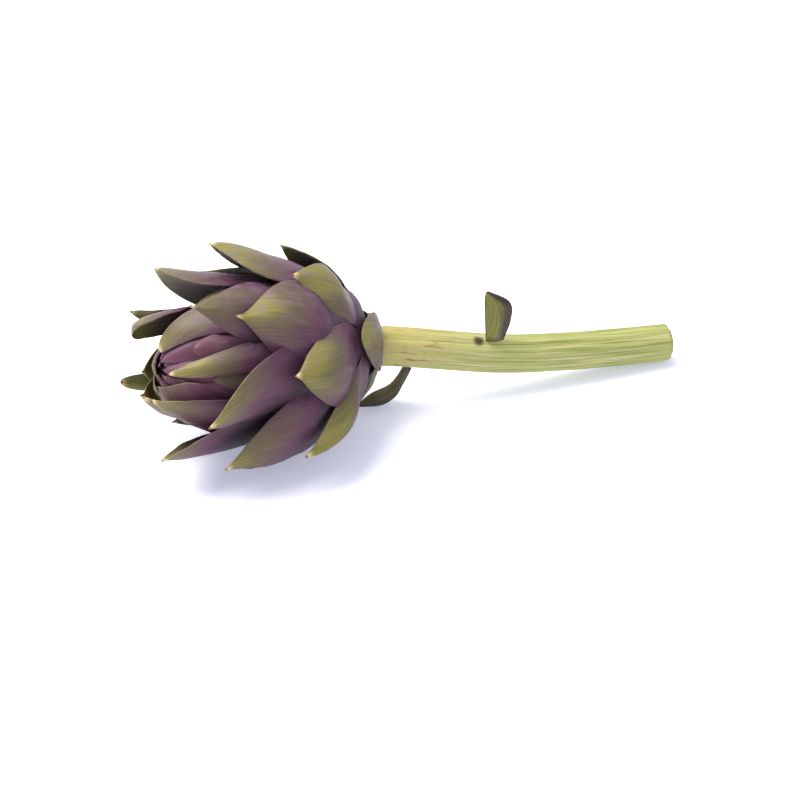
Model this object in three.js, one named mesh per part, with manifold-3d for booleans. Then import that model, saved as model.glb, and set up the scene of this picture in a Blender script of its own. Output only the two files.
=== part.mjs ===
// A small violet artichoke, as picked: the head of overlapping bracts and its cut stem lie on
// the plane z = 0. Lengths are millimetres, angles are degrees, and +Z is up.
// The head is modelled upright in its own frame, with its stem joint at the origin, its tip
// towards +Z and azimuth 0 on the side that ends up on top. Its group then lays it down.

import * as THREE from 'three';
import { mergeVertices } from 'three/addons/utils/BufferGeometryUtils.js';
import Module from 'manifold-3d';

const wasm = await Module();
wasm.setup();

// ---------------------------------------------------------------- driving dimensions

// Where the stem joint stands and how far the tip end is lifted
const JOINT = new THREE.Vector3(-15.4, 0.97, 25.1);
const HEAD_PITCH = 9.5;

// The closed head, without its loose tips
const HEAD_RADIUS = 32.3;
const WIDEST_HEIGHT = 34;
const LOWER_LENGTH = 33.5;
const UPPER_LENGTH = 45;
const BASE_FULLNESS = 2.45;
const BASE_SKEW = 0.21;
const BASE_SKEW_AZIMUTH = -75;

// The spiral in which the bracts grow
const BRACT_COUNT = 50;
const COLLAR_BRACTS = 4;
const GOLDEN_ANGLE = 137.508;
const FIRST_AZIMUTH = 172;
const LAYER_STEP = 0.32;
const APEX_PINCH = 0.75;

// The plain rule for a bract. Its tip climbs towards TOP_HEIGHT with its number and stands
// TIP_OPENING off the closed head, less and less from DRAWN_START on. Bracts from INNER_START on
// are blunter, and from HEART_START on they end lower in the heart.
const TOP_HEIGHT = 76;
const HEIGHT_SPAN = 56;
const HEIGHT_BRACTS = 9;
const TIP_OPENING = 1.5;
const DRAWN_START = 14;
const DRAWN_STEP = 0.24;
const LEAST_TIP_RADIUS = 3.2;
const HIGHEST_CLOSED_TIP = 77;
const ROOT_LEVEL = -74;
const ROOT_STEP = 2;
const HIGHEST_ROOT_LEVEL = 5;
const INNER_START = 22;
const HEART_START = 31;
const SUNKEN_STEP = 0.14;

// The last bracts are pointed and close over the tip of the head
const BUD_START = 38;
const BUD_HEIGHT = 74.5;
const BUD_HEIGHT_STEP = 0.15;
const BUD_RADIUS = 4.5;
const BUD_RADIUS_STEP = 0.25;
const LEAST_BUD_RADIUS = 0.8;
const BUD_HALF_WIDTH = 8.5;
const BUD_POINT = 3;
const BUD_DRAW = 0.8;
const OUTER_HALF_WIDTH = 14.5;
const HALF_WIDTH_STEP = 0.12;
const COLLAR_HALF_WIDTH = 10;
const OUTER_POINT = 5;
const INNER_POINT = 6.5;
const THORN_DRAW = 1.5;
const BOAT = 0.35;

// The blade of every bract, with lengths along it as shares of the whole
const ROOT_SHARE = 0.6;
const BROADEST = 0.55;
const THORN_HALF_WIDTH = 0.15;
const MIDRIB_THICKNESS = 1.5;
const EDGE_THICKNESS = 0.95;
const TIP_THICKNESS = 0.65;
const FREE_LENGTH = 0.6;
const LOOSENING = 0.7;
const LEANING = 1.5;
const LEAST_FOLD = 0.05;
const LOOSE_FOLD = 0.12;
const ROUND_KEEL = 2;
const KEEL_SHARPENING = 0.65;
const OPEN_BOAT_REACH = 8;
const LEAST_WRAP_RADIUS = 6;
const LEAST_WRAP_SHARE = 0.75;
const PRESSED_OUTER = -0.4;
const PRESSED_INNER = 0.7;
const FLOOR_CLEARANCE = 1;

// The receptacle and closed heart that the bracts stand out of: radius, height
const CORE_SIDES = 24;
const CORE_PROFILE = [
  [0, -5],
  [7.4, -5],
  [9, -2.4],
  [12, 0.5],
  [20, 4],
  [26, 14],
  [27.4, 28],
  [26, 40],
  [22, 51],
  [15, 60],
  [7, 65],
  [0, 67],
];

// The low collar bracts follow lines up from the stem and out over the base of the head: radius,
// height. The first lies far out over the base, the last is a short scale.
const COLLAR_LINE = [[8.4, -4.1], [11.8, -3.2], [12.8, -0.6], [17.5, 2.2]];
const COLLAR_LINES = new Map([
  [-1, [[8.4, -4.1], [14, -4.6], [20.5, -1], [26.2, 9.4]]],
  [-4, [[8.4, -4.1], [10.4, -3.8], [11.4, -2.4], [12.4, -1]]],
]);

// The stem, from the joint to its cut end: points relative to the joint
const STEM_ROUTE = [
  [5.4, 0, -0.9],
  [10.2, -1, -1.7],
  [24, -4, -4.9],
  [48, -9, -10.6],
  [72, -12.4, -14.4],
  [92, -14.8, -16.8],
  [110.8, -17.1, -18.5],
];
const STEM_RADIUS_TOP = 6.9;
const STEM_RADIUS_END = 6.6;
const STEM_RIBS = 10;
const STEM_RIB_DEPTH = 0.03;

// The two small leaves on the stem. Each is boat-shaped and follows a route of points relative to
// the joint; halfWidths go with those points, side is the way across the blade and cup is how
// deep it is folded.
const LEAF_THICKNESS = 1;
const LEAST_LEAF_HALF_WIDTH = 0.3;
const UPPER_LEAF = {
  route: [[44.6, -11.3, -2.7], [46.4, -9.9, 3.6], [46.6, -8.6, 10.6], [43, -7.6, 15.5]],
  halfWidths: [3, 4.6, 4.4, 0.4],
  side: [-0.97, 0.24, 0],
  cup: 0.5,
};
const LOWER_LEAF = {
  route: [[16, -1.8, -11], [13.6, -1.4, -15.6], [10, -1.2, -19.8], [4, -1, -22], [-3, -1, -22.6]],
  halfWidths: [1.6, 2.6, 3.4, 3.4, 0.6],
  side: [0, 1, 0],
  cup: 0.5,
};

// How finely the blades and the stem are cut
const OUTER_ROWS = 8;
const INNER_ROWS = 7;
const LEAF_ROWS = 9;
const BLADE_COLUMNS = 4;
const STEM_STEPS = 22;
const SIDES_PER_RIB = 4;

const FLOOR_SIZE = 400;
const rad = THREE.MathUtils.degToRad;

// Bracts that part from the plain rule, numbered up the spiral from the stem. shift moves the
// root round the head and lean swings the tip, radius and height place the tip, halfWidth is the
// widest half of the blade, foot the breadth of its root as a share of that, boat is how deep
// its loose end is folded lengthwise, tilt turns it about its midrib, point is how late it
// narrows and draw how long its thorn is drawn out.
const BRACT_SHAPES = new Map([
  [-4, { halfWidth: 8 }],
  [-1, { halfWidth: 11.5, point: 3, draw: 0.6 }],
  [1, { shift: 11, lean: -4, radius: 38, height: 24.2, halfWidth: 13.6,
    boat: 0.2, tilt: -0.2, point: 3.4, draw: 1.2 }],
  [2, { shift: 18, lean: -30, foot: 1.4, radius: 40, height: 34.6, halfWidth: 10.2,
    boat: 1, tilt: -0.6, point: 2.5, draw: 0.97 }],
  [4, { shift: 4, lean: 5.5, radius: 34.7, height: 33.4, halfWidth: 12.2,
    boat: 0.44, tilt: 0.65, point: 3, draw: 1.05 }],
  [5, { radius: 27, height: 44 }],
  [6, { radius: 38, height: 47.5, halfWidth: 12 }],
  [7, { shift: 4, lean: -2.2, radius: 35, height: 41, halfWidth: 13.6,
    boat: 0.34, tilt: -0.2, point: 9, draw: 2.1 }],
  [9, { shift: 11.7, lean: 0.5, radius: 39.8, height: 53.8, halfWidth: 18,
    boat: 0.06, tilt: 0.17, point: 11, draw: 1.1 }],
  [10, { shift: 27, lean: -32, radius: 37.2, height: 59.6, halfWidth: 16.8,
    boat: 0.4, tilt: -0.55, point: 4.4, draw: 1.5 }],
  [12, { shift: -11, lean: 19, radius: 32, height: 57, halfWidth: 18,
    boat: 0.32, tilt: 0.45, point: 5.7, draw: 2.1 }],
  [13, { radius: 23, height: 60 }],
  [14, { shift: 12.5, lean: -17, radius: 33.5, height: 70, halfWidth: 17.8,
    boat: 0, tilt: 0.33, point: 8.5, draw: 0.95 }],
  [15, { shift: 32, lean: -37, radius: 33.7, height: 69.2, halfWidth: 11.3,
    boat: 0.16, tilt: 0.37, point: 12, draw: 1.7 }],
  [16, { shift: 5.5, lean: -7.5, radius: 26.6, height: 78.8, halfWidth: 4.1,
    tilt: 0.1, point: 3.9, draw: 0.5 }],
  [17, { shift: -19.5, lean: 2, radius: 34, height: 72, halfWidth: 13.2,
    boat: 0.33, tilt: 0.6, point: 4.7, draw: 2.35 }],
  [18, { shift: 8, lean: -5, radius: 30.4, height: 78, halfWidth: 17,
    boat: 0.2, tilt: 0.07, point: 5, draw: 1.3 }],
  [19, { shift: 17.5, lean: -16, radius: 30.2, height: 74, halfWidth: 8.7,
    boat: 0.4, tilt: 0.2, point: 3, draw: 0.95 }],
  [20, { shift: 11, lean: -18.5, radius: 13.5, height: 76.3, halfWidth: 6,
    boat: 0.34, tilt: -0.14, point: 2.5, draw: 0.85 }],
  [21, { shift: 3, lean: -2, radius: 27.5, height: 64.2, halfWidth: 9.5,
    boat: 0.3, tilt: -0.1, point: 2.5, draw: 0.9 }],
  [22, { shift: -3.5, lean: -5.5, radius: 15, height: 66, halfWidth: 11.8 }],
  [23, { shift: -3, lean: -11.6, radius: 10.7, height: 79.6, halfWidth: 11.4,
    tilt: 0.18, point: 5.8, draw: 1.1 }],
  [24, { shift: 5, lean: 7.5, radius: 17.5, height: 74.2, halfWidth: 12, point: 7, draw: 1.4 }],
  [25, { shift: 1, lean: 44, radius: 5.5, height: 73.8, halfWidth: 11.5,
    boat: 0.5, tilt: -0.25, point: 3.6, draw: 0.55 }],
  [26, { shift: -13, lean: -14, radius: 12, height: 77.7, halfWidth: 11.7,
    boat: 0.33, tilt: -0.65, point: 6, draw: 0.9 }],
  [27, { lean: 10, radius: 9, height: 70 }],
  [28, { shift: -10.7, lean: 13, radius: 17, height: 62.2, halfWidth: 6.8, point: 4.8, draw: 1 }],
  [29, { shift: 2, lean: 3.6, radius: 17.2, height: 75, halfWidth: 9.2,
    tilt: 0.46, point: 6.7, draw: 0.8 }],
  [30, { radius: 5, height: 68 }],
  [31, { shift: -20, lean: 18, radius: 6, height: 76, halfWidth: 18,
    tilt: -0.12, point: 7, draw: 1.35 }],
  [32, { shift: -21, lean: -21, radius: 14, height: 80.4, halfWidth: 7.8,
    tilt: -0.05, point: 11, draw: 0.35 }],
  [33, { shift: 3, lean: 2, radius: 18, height: 68, halfWidth: 4.8, point: 8, draw: 0.6 }],
  [34, { shift: -9.4, lean: -12, radius: 10.2, height: 73.4, halfWidth: 14.2,
    tilt: 0.08, point: 9.8, draw: 0.7 }],
  [35, { radius: 5, height: 68 }],
  [36, { shift: 0.6, lean: 5, radius: 7.5, height: 70.8, halfWidth: 12,
    boat: 0.28, tilt: -0.08, point: 2.6, draw: 1.05 }],
  [37, { shift: -3, lean: -5.8, radius: 8.5, height: 72.7, halfWidth: 13.2,
    tilt: 0.1, point: 9, draw: 0.7 }],
  [38, { shift: -14 }],
  [46, { shift: -8 }],
]);

// ---------------------------------------------------------------- the placed head

const head = new THREE.Group();
head.position.copy(JOINT);
head.rotation.y = -(Math.PI / 2 - rad(HEAD_PITCH));
head.updateMatrixWorld(true);
const toHead = head.matrixWorld.clone().invert();
const up = new THREE.Vector3(0, 0, 1).transformDirection(toHead);

const heightAboveFloor = (point) => JOINT.z + point.dot(up);

// ---------------------------------------------------------------- solids

function solidFrom(geometry) {
  geometry.deleteAttribute('normal');
  geometry.deleteAttribute('uv');
  const merged = mergeVertices(geometry, 1e-4);
  return new wasm.Manifold(new wasm.Mesh({
    numProp: 3,
    vertProperties: new Float32Array(merged.attributes.position.array),
    triVerts: new Uint32Array(merged.index.array),
  }));
}

function geometryFrom(solid) {
  const { vertProperties, triVerts } = solid.getMesh();
  const geometry = new THREE.BufferGeometry();
  geometry.setAttribute('position', new THREE.BufferAttribute(vertProperties, 3));
  geometry.setIndex(new THREE.BufferAttribute(triVerts, 1));
  geometry.computeVertexNormals();
  return geometry;
}

// Scraps and sealed hollows come apart from the body as solids of their own
function largestBody(solid) {
  return solid.decompose().reduce((a, b) => (b.volume() > a.volume() ? b : a));
}

function underFloor(toLocal) {
  const slab = new THREE.BoxGeometry(FLOOR_SIZE, FLOOR_SIZE, FLOOR_SIZE);
  slab.translate(0, 0, -FLOOR_SIZE / 2);
  slab.applyMatrix4(toLocal);
  return solidFrom(slab);
}

// A closed blade from a grid of points on its outer and inner face, row by row from the root.
// The last row of each face is a single point. Both faces are split along the same diagonals.
function bladeGeometry(outer, inner) {
  const columns = outer[0].length;
  const last = outer.length - 1;
  const positions = [];
  const faces = [outer, inner].map((face) => face.map((row) => row.map((point) => {
    positions.push(point.x, point.y, point.z);
    return positions.length / 3 - 1;
  })));
  const [out, back] = faces;
  const edge = columns - 1;
  const index = [];
  const quad = (a, b, c, d) => index.push(a, b, c, a, c, d);
  for (let i = 0; i < last - 1; i += 1) {
    for (let j = 0; j < columns - 1; j += 1) {
      quad(out[i][j], out[i][j + 1], out[i + 1][j + 1], out[i + 1][j]);
      index.push(back[i][j], back[i + 1][j + 1], back[i][j + 1]);
      index.push(back[i][j], back[i + 1][j], back[i + 1][j + 1]);
    }
    quad(out[i][0], out[i + 1][0], back[i + 1][0], back[i][0]);
    quad(out[i][edge], back[i][edge], back[i + 1][edge], out[i + 1][edge]);
  }
  for (let j = 0; j < columns - 1; j += 1) {
    quad(out[0][j], back[0][j], back[0][j + 1], out[0][j + 1]);
    index.push(out[last - 1][j], out[last - 1][j + 1], out[last][0]);
    index.push(back[last - 1][j + 1], back[last - 1][j], back[last][0]);
  }
  quad(out[last - 1][0], out[last][0], back[last][0], back[last - 1][0]);
  quad(out[last - 1][edge], back[last - 1][edge], back[last][0], out[last][0]);
  const geometry = new THREE.BufferGeometry();
  geometry.setAttribute('position', new THREE.Float32BufferAttribute(positions, 3));
  geometry.setIndex(index);
  return geometry;
}

// ---------------------------------------------------------------- the shape of the head

// The closed head is round about its axis. Its outline is an ellipse above the widest place
// and a fuller curve below it; level runs from -90 at the joint to +90 at the tip.
function outline(level) {
  if (level > 0) {
    return new THREE.Vector2(
      HEAD_RADIUS * Math.cos(level),
      WIDEST_HEIGHT + UPPER_LENGTH * Math.sin(level),
    );
  }
  const power = 2 / BASE_FULLNESS;
  return new THREE.Vector2(
    HEAD_RADIUS * Math.cos(level) ** power,
    WIDEST_HEIGHT - LOWER_LENGTH * Math.abs(Math.sin(level)) ** power,
  );
}

function outlineLevel(height) {
  const over = height - WIDEST_HEIGHT;
  if (over > 0) return Math.asin(Math.min(1, over / UPPER_LENGTH));
  return -Math.asin(Math.min(1, (-over / LOWER_LENGTH) ** (BASE_FULLNESS / 2)));
}

function outlineNormal(level) {
  const step = 1e-3;
  const along = outline(level + step).sub(outline(level - step));
  return new THREE.Vector2(along.y, -along.x).normalize();
}

// The outline of one layer: each later bract lies a little deeper, less so near the tip
function layerPoint(level, number) {
  const pinch = 1 - APEX_PINCH * Math.max(0, Math.sin(level)) ** 2;
  const depth = LAYER_STEP * (Math.max(number, 0) + 1) * pinch;
  return outline(level).addScaledVector(outlineNormal(level), -depth);
}

function plainBract(number) {
  const azimuth = FIRST_AZIMUTH - GOLDEN_ANGLE * number;
  const common = { azimuth, shift: 0, lean: 0, foot: ROOT_SHARE, tilt: 0, draw: THORN_DRAW };
  if (number < 0) {
    const points = COLLAR_LINES.get(number) ?? COLLAR_LINE;
    const line = new THREE.CubicBezierCurve(...points.map((point) => new THREE.Vector2(...point)));
    return { ...common, line, halfWidth: COLLAR_HALF_WIDTH, boat: 0, point: OUTER_POINT };
  }
  const root = Math.min(ROOT_LEVEL + ROOT_STEP * number, HIGHEST_ROOT_LEVEL);
  if (number >= BUD_START) {
    const later = number - BUD_START;
    return {
      ...common,
      height: BUD_HEIGHT - BUD_HEIGHT_STEP * later,
      radius: Math.max(LEAST_BUD_RADIUS, BUD_RADIUS - BUD_RADIUS_STEP * later),
      halfWidth: BUD_HALF_WIDTH,
      boat: BOAT,
      root,
      point: BUD_POINT,
      draw: BUD_DRAW,
    };
  }
  const sunken = Math.max(0, number - HEART_START) * SUNKEN_STEP;
  return {
    ...common,
    height: TOP_HEIGHT - HEIGHT_SPAN * Math.exp(-number / HEIGHT_BRACTS) - sunken,
    halfWidth: OUTER_HALF_WIDTH - HALF_WIDTH_STEP * number,
    boat: BOAT,
    root,
    point: number < INNER_START ? OUTER_POINT : INNER_POINT,
  };
}

function bractRule(number) {
  const bract = { ...plainBract(number), ...BRACT_SHAPES.get(number), number };
  if (number < 0) return bract;
  const level = outlineLevel(Math.min(bract.height, HIGHEST_CLOSED_TIP));
  const closed = layerPoint(level, number);
  const drawn = DRAWN_STEP * Math.max(0, number - DRAWN_START);
  const plainRadius = Math.max(LEAST_TIP_RADIUS, closed.x + TIP_OPENING - drawn);
  const radius = Math.min(bract.radius ?? plainRadius, pressedRadius(bract));
  return {
    ...bract,
    opening: new THREE.Vector2(radius, bract.height).sub(closed),
    rootLevel: rad(bract.root),
    tipLevel: level,
  };
}

// A tip on the underside stays just above the surface that the head lies on
function pressedRadius({ azimuth, shift, lean, height }) {
  const angle = rad(azimuth + shift + lean);
  const fall = up.x * Math.cos(angle) + up.y * Math.sin(angle);
  if (fall >= 0) return Infinity;
  return (JOINT.z + up.z * height - FLOOR_CLEARANCE) / -fall;
}

// Half width along the blade: broad from the middle, then drawn in to a thorny point
function bladeTaper(u, { foot, point, draw }) {
  const broad = Math.sin(Math.min(1, u / BROADEST) * Math.PI / 2);
  return THREE.MathUtils.lerp(foot, 1, broad) * Math.max(0, 1 - u ** point) ** draw;
}

// The loose end of the blade as a share of its free length, and nothing before it
const looseShare = (u) => Math.max(0, (u - 1 + FREE_LENGTH) / FREE_LENGTH);

// The midrib of a bract, as radius and height
function midrib(bract, u) {
  if (bract.line) return bract.line.getPoint(u);
  const level = THREE.MathUtils.lerp(bract.rootLevel, bract.tipLevel, u);
  return layerPoint(level, bract.number).addScaledVector(bract.opening, looseShare(u) ** 2);
}

// A point of a bract: u from root to tip, v across it from -1 to 1, and depth inwards
function bractPoint(bract, u, v, depth) {
  const step = 1e-3;
  const along = midrib(bract, u + step).sub(midrib(bract, u - step)).normalize();
  const normal = new THREE.Vector2(along.y, -along.x);
  const half = bract.halfWidth * bladeTaper(u, bract) + THORN_HALF_WIDTH;
  const loose = looseShare(u) ** LOOSENING;
  const open = bract.opening ? Math.min(1, Math.abs(bract.opening.x) / OPEN_BOAT_REACH) : 0;
  const fold = (LEAST_FOLD + (LOOSE_FOLD + bract.boat * open) * loose) * half;
  const sway = bract.tilt * loose * half;
  const place = midrib(bract, u);
  const wrap = half / Math.max(place.x, LEAST_WRAP_RADIUS, half * LEAST_WRAP_SHARE);
  const crown = 1 - Math.abs(v) ** (ROUND_KEEL - KEEL_SHARPENING * u);
  place.addScaledVector(normal, fold * crown + sway * v - depth);
  const angle = rad(bract.azimuth + bract.shift + bract.lean * u ** LEANING) + v * wrap;
  return skewed(new THREE.Vector3(place.x * Math.cos(angle), place.x * Math.sin(angle), place.y));
}

// The head sits a little askew on its stem: its base is drawn up on one side
function skewed(point) {
  const weight = THREE.MathUtils.clamp((WIDEST_HEIGHT - point.z) / LOWER_LENGTH, 0, 1) ** 2;
  const azimuth = rad(BASE_SKEW_AZIMUTH);
  const reach = point.x * Math.cos(azimuth) + point.y * Math.sin(azimuth);
  point.z += BASE_SKEW * reach * weight;
  return point;
}

// What would sink below the surface is pressed flat against it
function pressed(point, least) {
  const short = least - heightAboveFloor(point);
  return short > 0 ? point.addScaledVector(up, short) : point;
}

// The places across a blade, from -1 to 1, and the single one at its tip
function placesAcross(row, rows) {
  if (row === rows) return [0];
  return Array.from({ length: BLADE_COLUMNS + 1 }, (_, j) => 2 * j / BLADE_COLUMNS - 1);
}

function bractSolid(number) {
  const bract = bractRule(number);
  const rows = number < INNER_START ? OUTER_ROWS : INNER_ROWS;
  const outer = [];
  const inner = [];
  for (let i = 0; i <= rows; i += 1) {
    const u = i / rows;
    const across = placesAcross(i, rows);
    outer.push(across.map((v) => pressed(bractPoint(bract, u, v, 0), PRESSED_OUTER)));
    inner.push(across.map((v) => {
      const thickness = THREE.MathUtils.lerp(MIDRIB_THICKNESS, EDGE_THICKNESS, Math.abs(v));
      const depth = THREE.MathUtils.lerp(thickness, TIP_THICKNESS, u ** 4);
      return pressed(bractPoint(bract, u, v, depth), PRESSED_INNER);
    }));
  }
  return solidFrom(bladeGeometry(outer, inner));
}

function coreSolid() {
  const profile = CORE_PROFILE.map(([radius, height]) => new THREE.Vector2(radius, height));
  const lathe = new THREE.LatheGeometry(profile, CORE_SIDES);
  lathe.rotateX(Math.PI / 2);
  const { position } = lathe.attributes;
  const point = new THREE.Vector3();
  for (let i = 0; i < position.count; i += 1) {
    skewed(point.fromBufferAttribute(position, i));
    position.setXYZ(i, point.x, point.y, point.z);
  }
  return solidFrom(lathe);
}

function headSolid() {
  let solid = coreSolid();
  for (let number = -COLLAR_BRACTS; number < BRACT_COUNT; number += 1) {
    solid = solid.add(bractSolid(number));
  }
  return largestBody(solid.subtract(underFloor(toHead)));
}

// ---------------------------------------------------------------- the stem and its leaves

const fromJoint = ([x, y, z]) => new THREE.Vector3(x, y, z).add(JOINT);

// A closed tube with shallow ribs along a curve, thinner towards its end
function ribbedTube(curve, steps, sides) {
  const { normals, binormals } = curve.computeFrenetFrames(steps, false);
  const positions = [];
  const index = [];
  for (let i = 0; i <= steps; i += 1) {
    const t = i / steps;
    const centre = curve.getPointAt(t);
    const radius = THREE.MathUtils.lerp(STEM_RADIUS_TOP, STEM_RADIUS_END, t);
    for (let j = 0; j < sides; j += 1) {
      const angle = 2 * Math.PI * j / sides;
      const ribbed = radius * (1 + STEM_RIB_DEPTH * Math.cos(STEM_RIBS * angle));
      const point = centre.clone()
        .addScaledVector(normals[i], ribbed * Math.cos(angle))
        .addScaledVector(binormals[i], ribbed * Math.sin(angle));
      positions.push(point.x, point.y, point.z);
      const next = (j + 1) % sides;
      if (i < steps) {
        const a = i * sides + j;
        const b = i * sides + next;
        index.push(a, b, b + sides, a, b + sides, a + sides);
      }
    }
  }
  for (const [ring, centre] of [[0, curve.getPointAt(0)], [steps, curve.getPointAt(1)]]) {
    positions.push(centre.x, centre.y, centre.z);
    const middle = positions.length / 3 - 1;
    for (let j = 0; j < sides; j += 1) {
      const a = ring * sides + j;
      const b = ring * sides + (j + 1) % sides;
      index.push(...(ring === 0 ? [middle, b, a] : [middle, a, b]));
    }
  }
  const geometry = new THREE.BufferGeometry();
  geometry.setAttribute('position', new THREE.Float32BufferAttribute(positions, 3));
  geometry.setIndex(index);
  return geometry;
}

function stemSolid() {
  const curve = new THREE.CatmullRomCurve3(STEM_ROUTE.map(fromJoint));
  const tube = solidFrom(ribbedTube(curve, STEM_STEPS, STEM_RIBS * SIDES_PER_RIB));
  return largestBody(tube.subtract(underFloor(new THREE.Matrix4())));
}

// A small boat-shaped leaf along its route
function leafSolid({ route, halfWidths, side, cup }) {
  const curve = new THREE.CatmullRomCurve3(route.map(fromJoint));
  const widths = new THREE.SplineCurve(halfWidths.map((w, i) => new THREE.Vector2(i, w)));
  const across = new THREE.Vector3(...side);
  const outer = [];
  const inner = [];
  for (let i = 0; i <= LEAF_ROWS; i += 1) {
    const t = i / LEAF_ROWS;
    const centre = curve.getPoint(t);
    const half = Math.max(LEAST_LEAF_HALF_WIDTH, widths.getPoint(t).y);
    const normal = curve.getTangent(t).cross(across).normalize();
    const face = (depth) => placesAcross(i, LEAF_ROWS).map((v) => centre.clone()
      .addScaledVector(across, v * half)
      .addScaledVector(normal, cup * half * (1 - v * v) - depth));
    outer.push(face(-LEAF_THICKNESS / 2));
    inner.push(face(LEAF_THICKNESS / 2));
  }
  return solidFrom(bladeGeometry(inner, outer));
}

// ---------------------------------------------------------------- the whole artichoke

function node(name, solid, color, roughness) {
  const material = new THREE.MeshStandardMaterial({ color, roughness, metalness: 0 });
  const mesh = new THREE.Mesh(geometryFrom(solid), material);
  mesh.name = name;
  return mesh;
}

const artichoke = new THREE.Group();
head.add(node('head', headSolid(), 0x6b5560, 0.7));
artichoke.add(head);
artichoke.add(node('stem', stemSolid(), 0xa9b56a, 0.55));
artichoke.add(node('stem_leaf_upper', leafSolid(UPPER_LEAF), 0x6f7138, 0.65));
artichoke.add(node('stem_leaf_lower', leafSolid(LOWER_LEAF), 0x4a4234, 0.65));

export default artichoke;
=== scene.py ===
import math
from functools import partial

import bpy
import numpy as np
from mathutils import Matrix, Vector


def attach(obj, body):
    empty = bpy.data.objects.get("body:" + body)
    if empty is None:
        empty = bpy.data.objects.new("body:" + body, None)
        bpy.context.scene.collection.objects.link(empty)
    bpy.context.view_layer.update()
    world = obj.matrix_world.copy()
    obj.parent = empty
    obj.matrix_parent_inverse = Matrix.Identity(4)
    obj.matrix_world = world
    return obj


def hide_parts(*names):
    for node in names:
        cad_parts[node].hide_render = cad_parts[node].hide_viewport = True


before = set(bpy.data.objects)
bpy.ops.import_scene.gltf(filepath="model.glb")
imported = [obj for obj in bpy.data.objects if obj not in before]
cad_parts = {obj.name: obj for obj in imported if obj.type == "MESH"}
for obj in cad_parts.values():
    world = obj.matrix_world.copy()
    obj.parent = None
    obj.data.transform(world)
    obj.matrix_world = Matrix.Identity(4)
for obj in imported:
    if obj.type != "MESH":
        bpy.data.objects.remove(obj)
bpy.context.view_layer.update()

mm = 0.001
leafIor = 1.42  # waxy plant skin
noiseMiddle = 0.5  # the value that a noise swings about


def colour(hexCode):
    # sRGB hex to the linear values that shaders take
    channels = [int(hexCode[i:i + 2], 16) / 255 for i in (1, 3, 5)]
    return (*[c / 12.92 if c <= 0.04045 else ((c + 0.055) / 1.055) ** 2.4 for c in channels], 1)


def addNode(tree, kind, inputs=None, stops=None, **settings):
    # Inputs are a list in order, or go by name or by place. A node or a socket is linked,
    # anything else is set.
    node = tree.nodes.new(kind)
    for name, value in settings.items():
        setattr(node, name, value)
    if isinstance(inputs, list):
        inputs = dict(enumerate(inputs))
    shown = [socket for socket in node.inputs if socket.enabled]
    for name, value in (inputs or {}).items():
        socket = shown[name] if isinstance(name, int) else next(s for s in shown if s.name == name)
        if isinstance(value, bpy.types.Node):
            value = next(s for s in value.outputs if s.enabled)
        if isinstance(value, bpy.types.NodeSocket):
            tree.links.new(value, socket)
        else:
            socket.default_value = value
    for i, (place, shade) in enumerate(stops or []):
        ramp = node.color_ramp.elements
        stop = ramp[i] if i < 2 else ramp.new(place)
        stop.position = place
        stop.color = colour(shade)
    return node


def addTree(name, inputs):
    # A Geometry Nodes tree with a geometry in and out and the named inputs after it, and what
    # adds nodes to it
    tree = bpy.data.node_groups.new(name, "GeometryNodeTree")
    tree.interface.new_socket("Geometry", in_out="INPUT", socket_type="NodeSocketGeometry")
    tree.interface.new_socket("Geometry", in_out="OUTPUT", socket_type="NodeSocketGeometry")
    for label, kind in inputs.items():
        tree.interface.new_socket(label, in_out="INPUT", socket_type="NodeSocket" + kind)
    return tree, partial(addNode, tree)


def addMaterial(name):
    # An empty material, and what adds nodes to it
    material = bpy.data.materials.new(name)
    material.use_nodes = True
    material.node_tree.nodes.clear()
    return material, partial(addNode, material.node_tree)


def layOver(add, shade, layers):
    # Mixes each layer's tint over the shade. It covers nothing where the value it follows is at
    # low and most where that is at high. Masks, with a low and a high of their own, thin it.
    for value, (tint, low, high, most), *masks in layers:
        cover = None
        for followed, start, end, top in ((value, low, high, most), *((*mask, 1) for mask in masks)):
            eased = add("ShaderNodeMapRange", {
                "Value": followed, "From Min": start, "From Max": end, "To Max": top},
                interpolation_type="SMOOTHSTEP")
            cover = add("ShaderNodeMath", [cover, eased], operation="MULTIPLY") if cover else eased
        shade = add("ShaderNodeMix", {"Factor": cover, "A": shade, "B": colour(tint)}, data_type="RGBA")
    return shade


def addGrain(add, skin, width, length, jump, detail):
    # A noise drawn out along a blade: how wide and long its grains are in mm, and how far it
    # jumps from one blade to the next
    place = add("ShaderNodeMapping", {0: skin, "Scale": (1 / width, 1 / length, jump)})
    return add("ShaderNodeTexNoise", {"Vector": place, "Scale": 1, "Detail": detail})


def addSurface(add, shade, relief, roughness, skin, sheen=0):
    # The shader under a skin's colour, with its relief as bumps
    bump = add("ShaderNodeBump", {
        "Height": relief, "Strength": skin["bumpStrength"], "Distance": skin["bumpHeight"]})
    surface = add("ShaderNodeBsdfPrincipled", {
        "Base Color": shade, "Roughness": roughness, "Normal": bump, "IOR": leafIor,
        "Sheen Weight": sheen})
    add("ShaderNodeOutputMaterial", {"Surface": surface})


def addObject(name, data):
    thing = bpy.data.objects.new(name, data)
    bpy.context.collection.objects.link(thing)
    return thing


def grow(name, source, tree, values):
    # Runs the tree on the source object and keeps the result as a plain mesh
    modifier = source.modifiers.new(name, "NODES")
    modifier.node_group = tree
    for item in tree.interface.items_tree:
        if item.item_type == "SOCKET" and item.in_out == "INPUT" and item.name in values:
            modifier[item.identifier] = values[item.name]
    graph = bpy.context.evaluated_depsgraph_get()
    grown = source.evaluated_get(graph)
    mesh = bpy.data.meshes.new_from_object(grown, preserve_all_data_layers=True, depsgraph=graph)
    source.modifiers.remove(modifier)
    mesh.name = name
    print(name, len(mesh.polygons), "faces")
    return addObject(name, mesh)


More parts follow.
